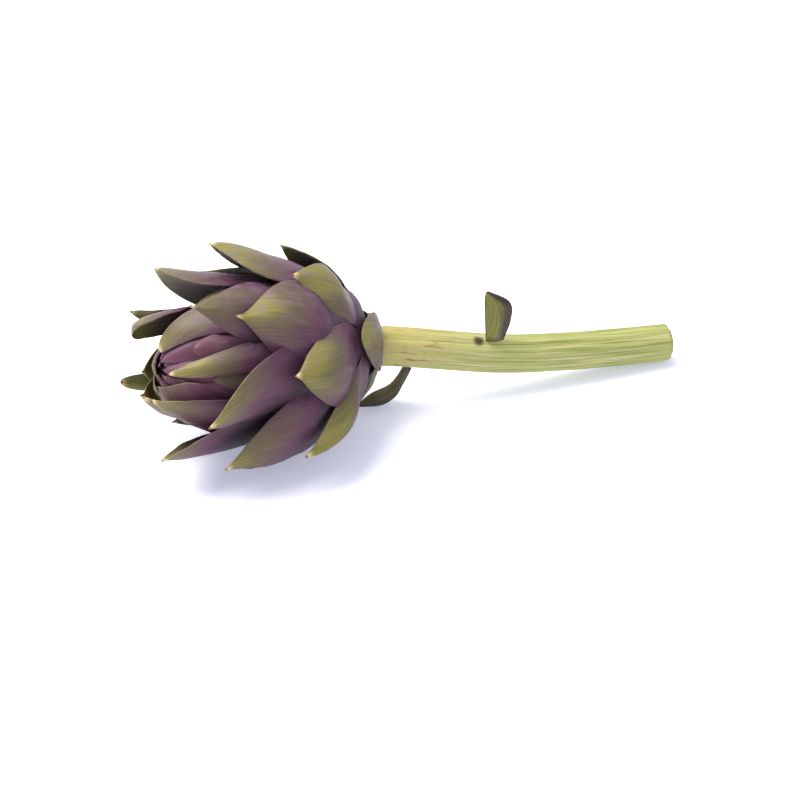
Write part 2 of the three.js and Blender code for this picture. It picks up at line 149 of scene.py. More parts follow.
def meshObject(name, points, faces=(), floats=None, vectors=None, wholes=None):
    # A mesh object with named values on its points
    mesh = bpy.data.meshes.new(name)
    mesh.from_pydata([tuple(p) for p in points], [], faces)
    for kind, field, layers in (("FLOAT", "value", floats), ("INT", "value", wholes),
                                ("FLOAT_VECTOR", "vector", vectors)):
        for label, values in (layers or {}).items():
            layer = mesh.attributes.new(label, kind, "POINT")
            layer.data.foreach_set(field, np.ravel(values))
    return addObject(name, mesh)


# Camera

cameraPlace = {
    "target": (-1.05, 1.89, -1.59),  # mm
    "azimuth": -25,
    "elevation": 35,
    "distance": 850,  # mm
    "lens": 109.4,
}


def makeCamera():
    data = bpy.data.cameras.new("camera")
    data.lens = cameraPlace["lens"]
    camera = addObject("camera", data)
    turn = math.radians(cameraPlace["azimuth"])
    rise = math.radians(cameraPlace["elevation"])
    back = Vector((math.sin(turn) * math.cos(rise), -math.cos(turn) * math.cos(rise), math.sin(rise)))
    camera.location = (Vector(cameraPlace["target"]) + back * cameraPlace["distance"]) * mm
    camera.rotation_mode = "QUATERNION"
    camera.rotation_quaternion = (-back).to_track_quat("-Z", "Y")
    bpy.context.scene.camera = camera


makeCamera()
print("camera placed")


# The head: an ellipse above its widest place and a fuller curve below it, in mm.
# It stands upright on the joint while it grows, and is laid down at the end.

headShape = {
    "joint": (-15.4, 0.97, 25.1),
    "pitch": 9.5,  # how far the tip end is lifted
    "radius": 32.3,
    "widestHeight": 34,
    "lowerLength": 33.5,
    "upperLength": 45,
    "highestTip": 77,
    "baseFullness": 2.45,
    "skew": 0.21,  # the base is drawn up on one side
    "skewAzimuth": -75,
    "layerStep": 0.32,  # from bract to bract
    "apexPinch": 0.75,  # how much closer the layers lie at the tip
    "clearance": 1,  # room below what could sink into the surface
}

# Bracts are numbered up the spiral from the stem, and the collar's are below 0
spiral = {
    "goldenAngle": 137.508,
    "firstAzimuth": 172,
    "firstRoot": -74,  # degrees below the widest place
    "rootStep": 2,
    "lastRoot": 5,
    "topHeight": 76,  # the tips near this height as they go up
    "topDrop": 56,  # and the first one is so far below it
    "climb": 9,  # how many bracts make most of the climb
    "heartStart": 31,  # from here on each tip lies a step lower
    "heartStep": 0.14,
    "opening": 1.5,  # how far a plain tip stands off its layer
    "closingStart": 14,  # from here on each stands off a step less
    "closingStep": 0.24,
    "leastRadius": 3.2,
    "innerStart": 22,  # from here on they narrow later
    "pieceStarts": (-4, 10, 26, 62),  # where the outer, middle and inner piece start, and the end
    "thornless": 30,  # from here on no thorns
}

# The last bracts close over the tip
budShape = {
    "start": 38,
    "height": 74.5,
    "heightStep": 0.15,
    "radius": 4.5,
    "radiusStep": 0.25,
    "leastRadius": 0.8,
    "halfWidth": 8.5,
    "point": 3,
    "draw": 0.8,
}

bractBlade = {
    "rows": 30,
    "rowCrowding": 1.35,
    "columns": 14,
    "halfWidth": 14.5,
    "narrowing": 0.12,  # for each bract up the spiral
    "leastHalf": 0.15,
    "widestAt": 0.55,  # along the blade
    "midrib": 1.3,  # mm thick, as edge and tip are
    "edge": 0.4,
    "tip": 0.45,
    "thinning": 4,  # how late it thins towards the tip
    "freeFrom": 0.4,  # where the loose end starts along the blade
    "loosening": 0.7,  # how soon it is fully loose
    "openedBy": 8,  # mm that a tip stands off at its fullest fold
    "swing": 1.5,  # how late the tip's swing sets in
    "wrapRadius": 6,  # no blade wraps round less than this
    "wrapShare": 0.75,  # or than this share of its own half width
    "rootFold": 0.05,  # of the half width
    "looseFold": 0.12,
    "keel": 2,  # 2 is a round back and 1 a sharp one
    "keelSharpening": 0.65,
    "waves": (0.7, 0.09, 5.3),  # across, along and from bract to bract
    "ripples": (0.9, 0.22, 9.1),
    "rippleEdge": 3,  # how close to the edge the ripple keeps
    "rippleHeight": 0.9,
    "pressedStep": 0.1,  # how much higher each next bract lies where it is pressed flat
    "pressedDepth": 0.8,
    "collarHalfWidth": 10,
    "outerPoint": 5,
    "innerPoint": 6.5,
}

plainBract = {"shift": 0, "lean": 0, "foot": 0.6, "boat": 0.35, "tilt": 0, "draw": 1.5}

# Bracts that part from the plain rule, with None for what they keep of it: shift moves the root
# round the head and lean swings the tip, radius and height place the tip, halfWidth is the widest
# half of the blade, boat is how deep its loose end is folded lengthwise, tilt turns it about its
# midrib, point is how late it narrows, draw how long its tip is drawn out and foot how broad its
# root is. Lengths are in mm and turns in degrees.
bractColumns = ("shift", "lean", "radius", "height", "halfWidth", "boat", "tilt", "point", "draw", "foot")
bractShapes = {
    -4: (None, None, None, None, 8),
    -1: (None, None, None, None, 11.5, None, None, 3, 0.6),
    1: (11, -4, 38, 24.2, 13.6, 0.2, -0.2, 3.4, 1.2),
    2: (18, -30, 40, 34.6, 10.2, 1, -0.6, 2.5, 0.97, 1.4),
    4: (4, 5.5, 34.7, 33.4, 12.2, 0.44, 0.65, 3, 1.05),
    5: (None, None, 27, 44),
    6: (None, None, 38, 47.5, 12),
    7: (4, -2.2, 35, 41, 13.6, 0.34, -0.2, 9, 2.1),
    9: (11.7, 0.5, 39.8, 53.8, 18, 0.06, 0.17, 11, 1.1),
    10: (27, -32, 37.2, 59.6, 16.8, 0.4, -0.55, 4.4, 1.5),
    12: (-11, 19, 32, 57, 18, 0.32, 0.45, 5.7, 2.1),
    13: (None, None, 23, 60),
    14: (12.5, -17, 33.5, 70, 17.8, 0, 0.33, 8.5, 0.95),
    15: (32, -37, 33.7, 69.2, 11.3, 0.16, 0.37, 12, 1.7),
    16: (5.5, -7.5, 26.6, 78.8, 4.1, None, 0.1, 3.9, 0.5),
    17: (-19.5, 2, 34, 72, 13.2, 0.33, 0.6, 4.7, 2.35),
    18: (8, -5, 30.4, 78, 17, 0.2, 0.07, 5, 1.3),
    19: (17.5, -16, 30.2, 74, 8.7, 0.4, 0.2, 3, 0.95),
    20: (11, -18.5, 13.5, 76.3, 6, 0.34, -0.14, 2.5, 0.85),
    21: (3, -2, 27.5, 64.2, 9.5, 0.3, -0.1, 2.5, 0.9),
    22: (-3.5, -5.5, 15, 66, 11.8),
    23: (-3, -11.6, 10.7, 79.6, 11.4, None, 0.18, 5.8, 1.1),
    24: (5, 7.5, 17.5, 74.2, 12, None, None, 7, 1.4),
    25: (1, 44, 5.5, 73.8, 11.5, 0.5, -0.25, 3.6, 0.55),
    26: (-13, -14, 12, 77.7, 11.7, 0.33, -0.65, 6, 0.9),
    27: (None, 10, 9, 70),
    28: (-10.7, 13, 17, 62.2, 6.8, None, None, 4.8, 1),
    29: (2, 3.6, 17.2, 75, 9.2, None, 0.46, 6.7, 0.8),
    30: (None, None, 5, 68),
    31: (-20, 18, 6, 76, 18, None, -0.12, 7, 1.35),
    32: (-21, -21, 14, 80.4, 7.8, None, -0.05, 11, 0.35),
    33: (3, 2, 18, 68, 4.8, None, None, 8, 0.6),
    34: (-9.4, -12, 10.2, 73.4, 14.2, None, 0.08, 9.8, 0.7),
    35: (None, None, 5, 68),
    36: (0.6, 5, 7.5, 70.8, 12, 0.28, -0.08, 2.6, 1.05),
    37: (-3, -5.8, 8.5, 72.7, 13.2, None, 0.1, 9, 0.7),
    38: (-14,),
    46: (-8,),
}

# How far the olive reaches down from the tips
bractGreen = {
    -4: 0.4, -3: 0.3, -2: 0.4, -1: 0.3, 0: 0.6, 1: 0.65, 2: 0.6, 3: 0.6, 4: 0.5, 5: 0.7, 7: 0.45,
    9: 0.3, 10: 0.38, 12: 0.35, 14: 0.05, 15: 0.38, 16: 0.9, 17: 0.25, 18: 0.25, 19: 0.6, 20: 0.45,
    23: 0.38, 25: 0.15, 26: 0.3, 28: 0, 31: 0, 32: 0, 33: -1, 34: 0, 36: -0.2, 37: 0,
}

plainGreen = {"bract": 0.3, "bud": -0.6}  # all others
brokenTips = (28, 32, 33)  # these have lost their thorn

# The collar bracts run up from the stem and out over the base: radius and height. The first lies
# far out over the base, the last is a short scale.
collarLine = ((8.4, -4.1), (11.8, -3.2), (12.8, -0.6), (17.5, 2.2))
collarLines = {
    -1: ((8.4, -4.1), (14, -4.6), (20.5, -1), (26.2, 9.4)),
    -4: ((8.4, -4.1), (10.4, -3.8), (11.4, -2.4), (12.4, -1)),
}


def headUp():
    # The way up, in the head's own frame
    pitch = math.radians(headShape["pitch"])
    return np.array([math.cos(pitch), 0, math.sin(pitch)])


def outline(level):
    sine, cosine = math.sin(level), max(0, math.cos(level))
    widest = headShape["widestHeight"]
    if level > 0:
        return np.array([headShape["radius"] * cosine, widest + headShape["upperLength"] * sine])
    power = 2 / headShape["baseFullness"]
    drop = headShape["lowerLength"] * abs(sine) ** power
    return np.array([headShape["radius"] * cosine ** power, widest - drop])


def layerPoint(level, number):
    # Each later bract lies a little deeper, less so near the tip of the head
    step = 1e-3
    along = outline(level + step) - outline(level - step)
    normal = np.array([along[1], -along[0]]) / np.hypot(*along)
    pinch = 1 - headShape["apexPinch"] * max(0, math.sin(level)) ** 2
    return outline(level) - normal * headShape["layerStep"] * (max(number, 0) + 1) * pinch


def outlineLevel(height):
    over = height - headShape["widestHeight"]
    if over > 0:
        return math.asin(min(1, over / headShape["upperLength"]))
    return -math.asin(min(1, (-over / headShape["lowerLength"]) ** (headShape["baseFullness"] / 2)))


def pressedRadius(azimuth, height):
    # How far out a tip on the underside can be, clear of the surface
    up = headUp()
    fall = up[0] * math.cos(math.radians(azimuth))
    above = headShape["joint"][2] + up[2] * height - headShape["clearance"]
    return math.inf if fall >= 0 else above / -fall


def bractRule(number):
    azimuth = spiral["firstAzimuth"] - spiral["goldenAngle"] * number
    bract = plainBract | {"number": number, "azimuth": azimuth}
    bract["point"] = bractBlade["innerPoint" if number >= spiral["innerStart"] else "outerPoint"]
    own = {name: value for name, value in zip(bractColumns, bractShapes.get(number, ()))
           if value is not None}
    if number < 0:
        bract |= {"halfWidth": bractBlade["collarHalfWidth"], "boat": 0, "opening": np.zeros(2)}
        return bract | own
    sunken = max(0, number - spiral["heartStart"]) * spiral["heartStep"]
    below = spiral["topDrop"] * math.exp(-number / spiral["climb"])
    bract["height"] = spiral["topHeight"] - below - sunken
    bract["halfWidth"] = bractBlade["halfWidth"] - bractBlade["narrowing"] * number
    later = number - budShape["start"]
    if later >= 0:
        bract |= {name: budShape[name] for name in ("halfWidth", "point", "draw")}
        bract["height"] = budShape["height"] - budShape["heightStep"] * later
        radius = budShape["radius"] - budShape["radiusStep"] * later
        bract["radius"] = max(budShape["leastRadius"], radius)
    bract |= own
    root = min(spiral["firstRoot"] + spiral["rootStep"] * number, spiral["lastRoot"])
    bract["rootLevel"] = math.radians(root)
    bract["tipLevel"] = outlineLevel(min(bract["height"], headShape["highestTip"]))
    closed = layerPoint(bract["tipLevel"], number)
    closing = spiral["closingStep"] * max(0, number - spiral["closingStart"])
    plainRadius = max(spiral["leastRadius"], closed[0] + spiral["opening"] - closing)
    limit = pressedRadius(azimuth + bract["shift"] + bract["lean"], bract["height"])
    radius = min(bract.get("radius", plainRadius), limit)
    bract["opening"] = np.array([radius, bract["height"]]) - closed
    return bract


def looseShare(along):
    return max(0, (along - bractBlade["freeFrom"]) / (1 - bractBlade["freeFrom"]))


def midrib(bract, along):
    # The middle of a bract from its root to its tip, as radius and height
    if bract["number"] < 0:
        back = 1 - along
        weights = [back ** 3, 3 * along * back ** 2, 3 * along ** 2 * back, along ** 3]
        return np.array(weights) @ np.array(collarLines.get(bract["number"], collarLine))
    level = bract["rootLevel"] + (bract["tipLevel"] - bract["rootLevel"]) * along
    return layerPoint(level, bract["number"]) + bract["opening"] * looseShare(along) ** 2


def rowPlaces():
    # Rows crowd towards the tip, where the outline turns fastest
    share = np.linspace(0, 1, bractBlade["rows"] + 1)
    return 1 - (1 - share) ** bractBlade["rowCrowding"]


guideVectors = ("centre", "outward")
guideFloats = ("turn", "wrap", "fold", "sway", "half", "reach", "tipReach", "number", "green", "thorn")


def bractGuide(name, numbers):
    # Points along the midribs of these bracts, with what the blade needs at each
    blade = bractBlade
    rows = {key: [] for key in guideVectors + guideFloats}
    step = 1e-3
    stride = 0.02  # of the midrib, to measure its length
    for number in numbers:
        bract = bractRule(number)
        length = sum(np.hypot(*(midrib(bract, a) - midrib(bract, a - stride)))
                     for a in np.linspace(stride, 1, 50))
        green = bractGreen.get(number, plainGreen["bract" if number < budShape["start"] else "bud"])
        thorn = 0 <= number < spiral["thornless"] and number not in brokenTips
        opened = min(1, abs(bract["opening"][0]) / blade["openedBy"])
        reach = 0
        last = midrib(bract, 0)
        for along in rowPlaces():
            place = midrib(bract, along)
            way = midrib(bract, along + step) - midrib(bract, along - step)
            way /= np.hypot(*way)
            broadening = math.sin(min(1, along / blade["widestAt"]) * math.pi / 2)
            taper = (bract["foot"] + (1 - bract["foot"]) * broadening) * (
                1 - along ** bract["point"]) ** bract["draw"]
            half = bract["halfWidth"] * taper + blade["leastHalf"]
            loose = looseShare(along) ** blade["loosening"]
            swung = bract["azimuth"] + bract["shift"] + bract["lean"] * along ** blade["swing"]
            boat = blade["looseFold"] + bract["boat"] * opened
            reach += np.hypot(*(place - last))
            last = place
            for key, value in (
                ("centre", (place[0], 0, place[1])), ("outward", (way[1], 0, -way[0])),
                ("turn", math.radians(swung)), ("half", half),
                ("wrap", half / max(place[0], blade["wrapRadius"], half * blade["wrapShare"])),
                ("fold", (blade["rootFold"] + boat * loose) * half),
                ("sway", bract["tilt"] * loose * half), ("reach", reach),
                ("tipReach", length - reach), ("number", number), ("green", green), ("thorn", thorn),
            ):
                rows[key].append(value)
    vectors = {key: rows.pop(key) for key in guideVectors}
    return meshObject(name, vectors["centre"], floats=rows, vectors=vectors)


def bladeBlank(name, places, blade):
    # A closed flat blade, one ring of points for each row: out over its outer face and back
    # under its inner face. Its points keep their place along and across and their depth.
    sides = np.sin(np.linspace(-1, 1, blade["columns"] + 1) * math.pi / 2)
    ring = len(sides) * 2
    across = np.tile(np.concatenate([sides, sides[::-1]]), len(places))
    along = np.repeat(places, ring)
    inside = np.tile(np.repeat([0.0, 1.0], len(sides)), len(places))
    thick = blade["midrib"] + (blade["edge"] - blade["midrib"]) * abs(across)
    depth = inside * (thick + (blade["tip"] - thick) * along ** blade["thinning"])
    faces = []
    for row in range(len(places) - 1):
        for j in range(ring):
            a, b = row * ring + j, row * ring + (j + 1) % ring
            faces.append((a, b, b + ring, a + ring))
    for row, turn in ((0, -1), (len(places) - 1, 1)):
        for j in range(blade["columns"]):
            a, b = row * ring + j, row * ring + ring - 1 - j
            faces.append((a, a + 1, b - 1, b)[::turn])
    row = np.repeat(np.arange(len(places)), ring)
    floats = dict(along=along, across=across, depth=depth, inside=inside)
    points = np.stack([across, along, -depth], 1)
    return meshObject(name, points, faces, floats=floats, wholes=dict(row=row))


def bractTree():
    # Sets a blank on each bract of the guide, then bends it along that bract's midrib
    tree, add = addTree("bractSpiral", {
        "Blank": "Object", "Bracts": "Int", "Rows": "Int", "Widest Height": "Float",
        "Base Height": "Float", "Skew": "Vector", "Up": "Vector", "Joint": "Vector",
        "Turn Down": "Float", "Ripple": "Float", "Material": "Material",
    })
    given = add("NodeGroupInput").outputs
    blank = add("GeometryNodeObjectInfo", {"Object": given["Blank"]})
    seeds = add("GeometryNodeMeshLine", {"Count": given["Bracts"]})
    index = add("GeometryNodeInputIndex")
    seeds = add("GeometryNodeStoreNamedAttribute", {
        0: seeds, "Name": "bract", "Value": index}, data_type="INT")
    blades = add("GeometryNodeInstanceOnPoints", {"Points": seeds, "Instance": blank.outputs["Geometry"]})
    blades = add("GeometryNodeRealizeInstances", [blades])

    bract = add("GeometryNodeInputNamedAttribute", {"Name": "bract"}, data_type="INT")
    row = add("GeometryNodeInputNamedAttribute", {"Name": "row"}, data_type="INT")
    point = add("ShaderNodeMath", [bract, given["Rows"], row], operation="MULTIPLY_ADD")
    at = {}
    for name in guideVectors + guideFloats:
        kind = "FLOAT_VECTOR" if name in guideVectors else "FLOAT"
        value = add("GeometryNodeInputNamedAttribute", {"Name": name}, data_type=kind)
        at[name] = add("GeometryNodeSampleIndex", [given["Geometry"], value, point], data_type=kind)
    for name in ("along", "across", "depth"):
        at[name] = add("GeometryNodeInputNamedAttribute", {"Name": name}, data_type="FLOAT")

    # Gentle waves of the whole blade and a finer ripple along its edges
    waveAt = add("ShaderNodeCombineXYZ", [at["across"], at["reach"], at["number"]])
    for name in ("waves", "ripples"):
        scaled = add("ShaderNodeVectorMath", [waveAt, bractBlade[name]], operation="MULTIPLY")
        noise = add("ShaderNodeTexNoise", {"Vector": scaled, "Scale": 1, "Detail": 1})
        at[name] = add("ShaderNodeMath", [noise, noiseMiddle], operation="SUBTRACT")

    # How far each point stands out from the midrib, by waves, fold, tilt and the depth of the
    # inner face; then its turn round the head, its place across the blade, and how high it rests
    # where it is pressed flat. Names are values worked out before.
    for name, operation, *terms in (
        ("side", "ABSOLUTE", "across"),
        ("edge", "POWER", "side", bractBlade["rippleEdge"]),
        ("wave", "MULTIPLY_ADD", "ripples", "edge", "waves"),
        ("wave", "MULTIPLY", "wave", given["Ripple"]),
        ("keel", "MULTIPLY_ADD", "along", -bractBlade["keelSharpening"], bractBlade["keel"]),
        ("crown", "POWER", "side", "keel"),
        ("crown", "SUBTRACT", 1, "crown"),
        ("out", "MULTIPLY_ADD", "crown", "fold", "wave"),
        ("out", "MULTIPLY_ADD", "across", "sway", "out"),
        ("out", "SUBTRACT", "out", "depth"),
        ("angle", "MULTIPLY_ADD", "across", "wrap", "turn"),
        ("wide", "MULTIPLY", "across", "half"),
        ("fromMiddle", "ABSOLUTE", "wide"),
        ("rimReach", "SUBTRACT", "half", "fromMiddle"),
        ("rest", "MULTIPLY_ADD", "number", bractBlade["pressedStep"], bractBlade["pressedStep"]),
        ("rest", "MAXIMUM", "rest", bractBlade["pressedStep"]),
        ("rest", "MULTIPLY_ADD", "depth", bractBlade["pressedDepth"], "rest"),
    ):
        terms = [at[term] if isinstance(term, str) else term for term in terms]
        at[name] = add("ShaderNodeMath", terms, operation=operation)
    place = add("ShaderNodeVectorMath", [at["outward"], at["out"], at["centre"]], operation="MULTIPLY_ADD")
    place = add("ShaderNodeVectorRotate", {"Vector": place, "Angle": at["angle"]}, rotation_type="Z_AXIS")

    # The base is drawn up on one side
    height = add("ShaderNodeSeparateXYZ", [place]).outputs["Z"]
    low = add("ShaderNodeMapRange", {
        "Value": height, "From Min": given["Widest Height"], "From Max": given["Base Height"]})
    low = add("ShaderNodeMath", [low, 2], operation="POWER")
    lift = add("ShaderNodeVectorMath", [place, given["Skew"]], operation="DOT_PRODUCT").outputs["Value"]
    lift = add("ShaderNodeMath", [lift, low], operation="MULTIPLY")
    lift = add("ShaderNodeCombineXYZ", {2: lift})
    place = add("ShaderNodeVectorMath", [place, lift], operation="ADD")

    # What would sink into the surface is pressed flat on it, later bracts above earlier ones
    above = add("ShaderNodeVectorMath", [place, given["Up"]], operation="DOT_PRODUCT").outputs["Value"]
    jointHeight = add("ShaderNodeSeparateXYZ", [given["Joint"]]).outputs["Z"]
    above = add("ShaderNodeMath", [above, jointHeight], operation="ADD")
    short = add("ShaderNodeMath", [at["rest"], above], operation="SUBTRACT")
    short = add("ShaderNodeMath", [short, 0], operation="MAXIMUM")
    place = add("ShaderNodeVectorMath", [given["Up"], short, place], operation="MULTIPLY_ADD")

    # Coordinates for the skin: mm across, mm along and the bract's number
    skinPlace = add("ShaderNodeCombineXYZ", [at["wide"], at["reach"], at["number"]])
    grown = add("GeometryNodeStoreNamedAttribute", {
        0: blades, "Name": "skinPlace", "Value": skinPlace}, data_type="FLOAT_VECTOR")
    for name in ("green", "thorn", "tipReach", "rimReach"):
        grown = add("GeometryNodeStoreNamedAttribute", {0: grown, "Name": name, "Value": at[name]})
    grown = add("GeometryNodeSetPosition", {0: grown, "Position": place})
    lay = add("ShaderNodeCombineXYZ", {1: given["Turn Down"]})
    grown = add("GeometryNodeTransform", {0: grown, "Rotation": lay, "Translation": given["Joint"]})
    grown = add("GeometryNodeTransform", {0: grown, "Scale": (mm, mm, mm)})
    # How far each point faces up, which the skin uses for painted light and a painted sheen on its top
    skyward = add("ShaderNodeSeparateXYZ", [add("GeometryNodeInputNormal")]).outputs["Z"]
    grown = add("GeometryNodeStoreNamedAttribute", {0: grown, "Name": "skyward", "Value": skyward})
    grown = add("GeometryNodeSetShadeSmooth", [grown])
    grown = add("GeometryNodeSetMaterial", {0: grown, "Material": given["Material"]})
    add("NodeGroupOutput", [grown])
    return tree


# Bract skin: living leaf under a matt waxy bloom, drawn with fine fibres from root to tip.
# It is plum low down, darkened to near black at the root as painted shade where its neighbours
# overlap it, mauve and grey-olive higher up and yellow-olive at the cream thorn. The inner ones
# are flushed with a redder violet, and what is turned up is painted greyer with a lilac-grey painted sheen.

bractSkin = {
    # the darkest stops, low down at the root, are painted shade where the bracts overlap
    "stops": ((0.03, "#25101f"), (0.2, "#47203d"), (0.38, "#5a3447"), (0.54, "#604b42"),
              (0.72, "#655b3b"), (0.94, "#7f7838")),
    "ripeLength": 36,  # mm from the tip to where the plum begins
    "ripeRange": (0.7, 1.75),
    # how much each adds to how ripe the skin is; skyward makes what faces up greyer and lighter, as painted
    # light
    "weights": {"green": 0.8, "patches": 0.6, "edge": -0.15, "fibres": 0.15, "skyward": 0.3},
    "edgePower": 3,
    # tint, the low and high of what it follows and how much it covers at most
    "flush": ("#7d4558", 23, 32, 0.5),  # bract number
    # painted sheen: lilac-grey laid on what faces up, in blotches like a waxy bloom
    "waxBloomAndPaintedSheen": ("#78687e", 0.3, 1, 0.4),
    "rim": ("#8a7462", 0.4, 0.05, 0.25),  # mm from the edge
    "cream": ("#d9c790", 3, 0.8, 0.75),  # mm from the tip
    "thorn": ("#8a5a3a", 1, 0.3, 1),
    # near black at the root: painted shade deep under the covering bracts
    "liningRoot": "#1c1416",
    "liningMiddle": ("#43382f", 0.45, 0.75, 1),
    "liningTip": ("#6f7038", 0.72, 0.98, 1),
    "heartLining": ("#4e2f47", 33, 36, 1),
    # masks, as low and high
    "pale": (0.55, 0.2),
    "blotchy": (0.35, 0.7),
    "patchy": (0.42, 0.62),
    "loose": (0.4, 0.8),
    "thorny": (0, 1),
    # grains: width and length in mm, jump from bract to bract and detail
    "fibres": (0.5, 16, 3.7, 3),
    "blotches": (2.2, 4.4, 1.9, 4),
    "patches": (7.6923, 20, 2.3, 3),
    "noiseRange": (0.3, 0.7),
    "streaks": (0.76, 1.03),  # darkest and lightest
    "roughness": (0.44, 0.6),
    "bumpHeight": 0.0002,
    "bumpStrength": 0.35,
    "blotchRelief": 0.6,
    "sheen": 0.03,
}


def bractMaterial():
    material, add = addMaterial("waxyBractSkin")
    own = bractSkin
    at = {}
    for name in ("along", "across", "inside", "green", "thorn", "tipReach", "rimReach", "skyward"):
        at[name] = add("ShaderNodeAttribute", attribute_name=name).outputs["Fac"]
    skin = add("ShaderNodeAttribute", attribute_name="skinPlace").outputs["Vector"]
    wide, _, at["number"] = add("ShaderNodeSeparateXYZ", [skin]).outputs
    for name in ("fibres", "blotches", "patches"):
        at[name] = addGrain(add, skin, *own[name])
    spot = add("ShaderNodeCombineXYZ", [wide, at["tipReach"]])
    at["tipSpot"] = add("ShaderNodeVectorMath", [spot], operation="LENGTH").outputs["Value"]
    side = add("ShaderNodeMath", [at["across"]], operation="ABSOLUTE")
    at["edge"] = add("ShaderNodeMath", [side, own["edgePower"]], operation="POWER")

    # How ripe the skin is: it rises towards the tip, and is painted greyer and lighter where the surface
    # faces up, as painted light
    ripeAndPaintedLight = add("ShaderNodeMapRange", {
        "Value": at["tipReach"], "From Min": own["ripeLength"], "From Max": 0})
    for name, weight in own["weights"].items():
        ripeAndPaintedLight = add("ShaderNodeMath", [at[name], weight, ripeAndPaintedLight], operation="MULTIPLY_ADD")
    unripe, fullyRipe = own["ripeRange"]
    ripeAndPaintedLight = add("ShaderNodeMapRange", {"Value": ripeAndPaintedLight, "From Min": unripe, "From Max": fullyRipe})
    shade = add("ShaderNodeValToRGB", [ripeAndPaintedLight], stops=own["stops"])

    # The inner face: painted near black towards its root as painted shade, olive towards its tip
    lining = layOver(add, colour(own["liningRoot"]), (
        (at["along"], own["liningMiddle"]), (at["along"], own["liningTip"]),
        (at["number"], own["heartLining"])))
    # A redder flush on the inner bracts, then a lilac-grey painted sheen on what faces up
    shade = layOver(add, shade, (
        (at["number"], own["flush"], (ripeAndPaintedLight, *own["pale"])),
        (at["skyward"], own["waxBloomAndPaintedSheen"], (at["blotches"], *own["blotchy"]))))
    shade = add("ShaderNodeMix", {"Factor": at["inside"], "A": shade, "B": lining}, data_type="RGBA")
    thorny = (at["thorn"], *own["thorny"])
    shade = layOver(add, shade, (
        (at["rimReach"], own["rim"], (at["patches"], *own["patchy"]), (at["along"], *own["loose"])),
        (at["tipSpot"], own["cream"], thorny), (at["tipSpot"], own["thorn"], thorny)))
    low, high = own["noiseRange"]
    darkest, lightest = own["streaks"]
    streak = add("ShaderNodeMapRange", {
        "Value": at["fibres"], "From Min": low, "From Max": high, "To Min": darkest, "To Max": lightest})
    shade = add("ShaderNodeVectorMath", {0: shade, "Scale": streak}, operation="SCALE")

    relief = add("ShaderNodeMath", [at["blotches"], own["blotchRelief"], at["fibres"]],
                 operation="MULTIPLY_ADD")
    smoothest, roughest = own["roughness"]
    roughness = add("ShaderNodeMapRange", {
        "Value": at["blotches"], "From Min": low, "From Max": high,
        "To Min": smoothest, "To Max": roughest})
    addSurface(add, shade, relief, roughness, own, own["sheen"])
    return material


# The receptacle and the closed heart that the bracts stand out of: radius and height. Its flesh
# is a dull violet, seen only deep between the bracts.
heartShape = {
    "profile": ((0, -5.3), (7.2, -5.3), (8.6, -2.6), (11.6, 0.3), (19.4, 3.8), (25.4, 14), (26.6, 28),
                (25.2, 40), (21, 50), (14, 58), (6, 62), (0, 63)),
    "sides": 72,
    "steps": 40,
    "stops": ((0.3, "#2c1826"), (0.7, "#5a3c4c")),
    "patchScale": 160,  # patches in a metre
    "roughness": 0.6,
}


def heartMaterial():
    material, add = addMaterial("heartFlesh")
    place = add("ShaderNodeTexCoord").outputs["Object"]
    patches = add("ShaderNodeTexNoise", {
        "Vector": place, "Scale": heartShape["patchScale"], "Detail": 4})
    shade = add("ShaderNodeValToRGB", [patches], stops=heartShape["stops"])
    surface = add("ShaderNodeBsdfPrincipled", {
        "Base Color": shade, "Roughness": heartShape["roughness"]})
    add("ShaderNodeOutputMaterial", {"Surface": surface})
    return material


def makeHeart(skin):
    # A turned body with its profile smoothed through the points, drawn up on one side as the
    # bracts are
    profile = np.array(heartShape["profile"], float)
    share = np.linspace(0, len(profile) - 1, heartShape["steps"] + 1)
    radius, height = (np.interp(share, range(len(profile)), profile[:, i]) for i in (0, 1))
    sides = heartShape["sides"]
    turn = np.arange(sides) * 2 * math.pi / sides
    points = np.stack([np.outer(radius[1:-1], np.cos(turn)), np.outer(radius[1:-1], np.sin(turn)),
                       np.repeat(height[1:-1, None], sides, 1)], 2).reshape(-1, 3)
    points = np.concatenate([points, [(0, 0, height[0]), (0, 0, height[-1])]])
    low = np.clip((headShape["widestHeight"] - points[:, 2]) / headShape["lowerLength"], 0, 1) ** 2
    skewTurn = math.radians(headShape["skewAzimuth"])
    drawnUp = points[:, 0] * math.cos(skewTurn) + points[:, 1] * math.sin(skewTurn)
    points[:, 2] += headShape["skew"] * low * drawnUp
    faces = []
    rings = heartShape["steps"] - 1
    top = (rings - 1) * sides
    for j in range(sides):
        after = (j + 1) % sides
        for a in range(0, top, sides):
            faces.append((a + j, a + after, a + after + sides, a + j + sides))
        faces.append((rings * sides, after, j))
        faces.append((rings * sides + 1, top + j, top + after))
    up = headUp()
    way = np.array([[up[2], 0, -up[0]], [0, 1, 0], up])
    placed = points @ way.T + np.array(headShape["joint"])
    placed[:, 2] = np.maximum(placed[:, 2], headShape["clearance"])
    heart = meshObject("heart", placed * mm, faces)
    heart.data.shade_smooth()
    heart.data.materials.append(skin)
    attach(heart, "root")
    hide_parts("head")


